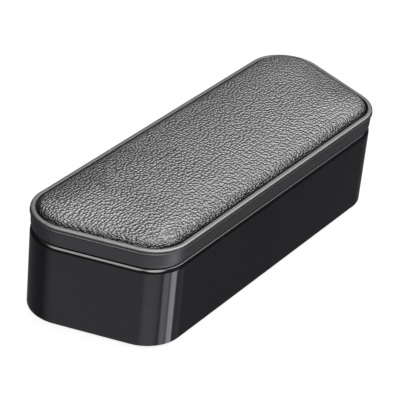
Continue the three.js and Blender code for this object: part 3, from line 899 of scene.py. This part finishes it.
def make_foam():
    """The foam block between the plate and the leather."""
    low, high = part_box("pad_foam")
    side = 2.3 * MM
    foam = loft("foam_core", filleted([
        (FLAT_INSET, low.z, 0),
        (side, low.z, 0.25 * MM),
        (side + 0.1 * MM, high.z - 0.85 * MM, 0.9 * MM),
        (8.6 * MM, high.z - 0.05 * MM, 0),
    ]))
    seat(foam, "case", "pad_foam", "pad_foam")


def make_battery_cushion():
    """The soft strip that keeps the cell off the board, squeezed in at its waist."""
    low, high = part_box("battery_pad")
    centre = middle("battery_pad")
    ring = rounded_rectangle((high.x - low.x) / 2, (high.y - low.y) / 2, 1.2 * MM, centre.xy)
    cushion = loft("battery_cushion", filleted([
        (1 * MM, low.z, 0),
        (0, low.z, 0.25 * MM),
        (0.3 * MM, centre.z, 1.2 * MM),
        (0, high.z, 0.25 * MM),
        (1 * MM, high.z, 0),
    ]), ring)
    seat(cushion, "case", "pad_foam", "battery_pad")


# ---- Studio ----
def make_floor():
    """A pale floor that glows evenly, is clear from below, and stays out of reflections and bounced light."""
    half = 3.0
    corners = [(-half, -half, 0), (half, -half, 0), (half, half, 0), (-half, half, 0)]
    floor = make_object("floor", corners, [(0, 1, 2, 3)])
    material = bpy.data.materials.new("pale_floor")
    material.use_nodes = True
    tree = material.node_tree
    tree.nodes.clear()
    paper = node(tree, "ShaderNodeBsdfDiffuse", {"Color": colour(0.04, 0.04, 0.04)})
    glow = node(tree, "ShaderNodeEmission", {"Color": colour(1, 1, 1), "Strength": 0.88})
    lit = node(tree, "ShaderNodeAddShader", {0: paper.outputs[0], 1: glow.outputs[0]})
    clear = node(tree, "ShaderNodeBsdfTransparent")
    below = node(tree, "ShaderNodeNewGeometry").outputs["Backfacing"]
    shown = node(tree, "ShaderNodeMixShader", {0: below, 1: lit.outputs[0], 2: clear.outputs[0]})
    node(tree, "ShaderNodeOutputMaterial", {"Surface": shown.outputs[0]})
    floor.data.materials.append(material)
    floor.visible_glossy = False
    floor.visible_diffuse = False


FULL_CORE = 0.35  # the share of a light's half width that has its full strength


def soft_edged(tree, facing, half_width, strength):
    """A light that fades out half_width degrees from its aim. facing is the cosine of the angle to it."""
    edge = math.cos(math.radians(half_width))
    core = math.cos(math.radians(half_width * FULL_CORE))
    return ease(tree, facing, edge, core, 0.0, strength)


def strip(tree, across, heading, half_width, strength):
    """A soft upright strip of light in a horizontal direction, in degrees from +X towards +Y."""
    aim = (math.cos(math.radians(heading)), math.sin(math.radians(heading)), 0.0)
    return soft_edged(tree, vector_node(tree, "DOT_PRODUCT", across, aim), half_width, strength)


def spot(tree, toward, heading, height, half_width, strength):
    """A soft round light in a direction given by its heading and its height above the horizon, in degrees."""
    turn, rise = math.radians(heading), math.radians(height)
    aim = (math.cos(turn) * math.cos(rise), math.sin(turn) * math.cos(rise), math.sin(rise))
    return soft_edged(tree, vector_node(tree, "DOT_PRODUCT", toward, aim), half_width, strength)


SPOTS = [  # heading, height, half width, strength
    (-12, 66, 41, 15.0),  # the key, high over the +X end
    (-125, 44, 27, 10.0),  # at the front
    (172, 46, 26, 7.0),  # at the -X end
]
STRIPS = [  # heading, half width, strength
    (-158, 68, 0.5),
    (-130, 30, 0.45),
    (-93, 12, 1.7),
    (-72, 12, 3.4),
    (-50, 20, 0.2),
]


def make_world():
    """A soft overhead light, a key, two weaker round lights, and upright strips below the horizon. The gloss
    case mirrors only the strips. The camera itself sees white."""
    world = bpy.data.worlds.new("studio")
    bpy.context.scene.world = world
    world.use_nodes = True
    tree = world.node_tree
    tree.nodes.clear()
    toward = node(tree, "ShaderNodeTexCoord").outputs["Generated"]
    height = node(tree, "ShaderNodeSeparateXYZ", {0: toward}).outputs["Z"]
    level = vector_node(tree, "MULTIPLY", toward, (1.0, 1.0, 0.0))
    across = vector_node(tree, "NORMALIZE", level)
    upper = ease(tree, height, 0.5, 1.0, 0.03, 2.0)
    for light in SPOTS:
        upper = math_node(tree, "ADD", upper, spot(tree, toward, *light))
    low = ease(tree, height, -0.46, -0.3, 1.0, 0.05)
    shine = 0.1
    for light in STRIPS:
        shine = math_node(tree, "ADD", shine, strip(tree, across, *light))
    total = math_node(tree, "ADD", upper, math_node(tree, "MULTIPLY", shine, low))
    camera = node(tree, "ShaderNodeLightPath").outputs["Is Camera Ray"]
    seen = node(tree, "ShaderNodeMix", {0: camera, 2: total, 3: 1.0}).outputs[0]
    tint = blend_colours(tree, low, colour(1.0, 0.992, 0.985), colour(0.96, 0.95, 1.04))
    background = node(tree, "ShaderNodeBackground", {"Color": tint, "Strength": seen})
    node(tree, "ShaderNodeOutputWorld", {"Surface": background.outputs[0]})


def make_camera():
    """A long lens that looks down on the near -X corner."""
    azimuth, elevation, roll = (math.radians(angle) for angle in (-57.6, 32.02, 5.69))
    target = Vector((-1.25, 2.306, 11.079)) * MM
    distance = 472.94 * MM
    level = math.cos(elevation)
    back = Vector((math.sin(azimuth) * level, -math.cos(azimuth) * level, math.sin(elevation)))
    right = Vector((math.cos(azimuth), math.sin(azimuth), 0))
    up = back.cross(right)
    tilted_right = right * math.cos(roll) + up * math.sin(roll)
    tilted_up = up * math.cos(roll) - right * math.sin(roll)
    data = bpy.data.cameras.new("camera")
    data.sensor_width = 36
    data.lens = 186.67
    data.clip_start = 0.01
    data.clip_end = 20
    camera = bpy.data.objects.new("camera", data)
    bpy.context.scene.collection.objects.link(camera)
    turn = [tilted_right, tilted_up, back]
    place = target + back * distance
    for row in range(3):
        for column in range(3):
            camera.matrix_world[row][column] = turn[column][row]
        camera.matrix_world[row][3] = place[row]
    bpy.context.scene.camera = camera


make_camera()
make_floor()
make_world()
bpy.context.scene.view_settings.view_transform = "Standard"
make_case()
make_bezel()
make_feet()
make_button()
make_lamp()
make_socket()
make_tongue()
make_contacts()
make_winding()
make_pad()
make_foam()
make_battery_cushion()
refinish()
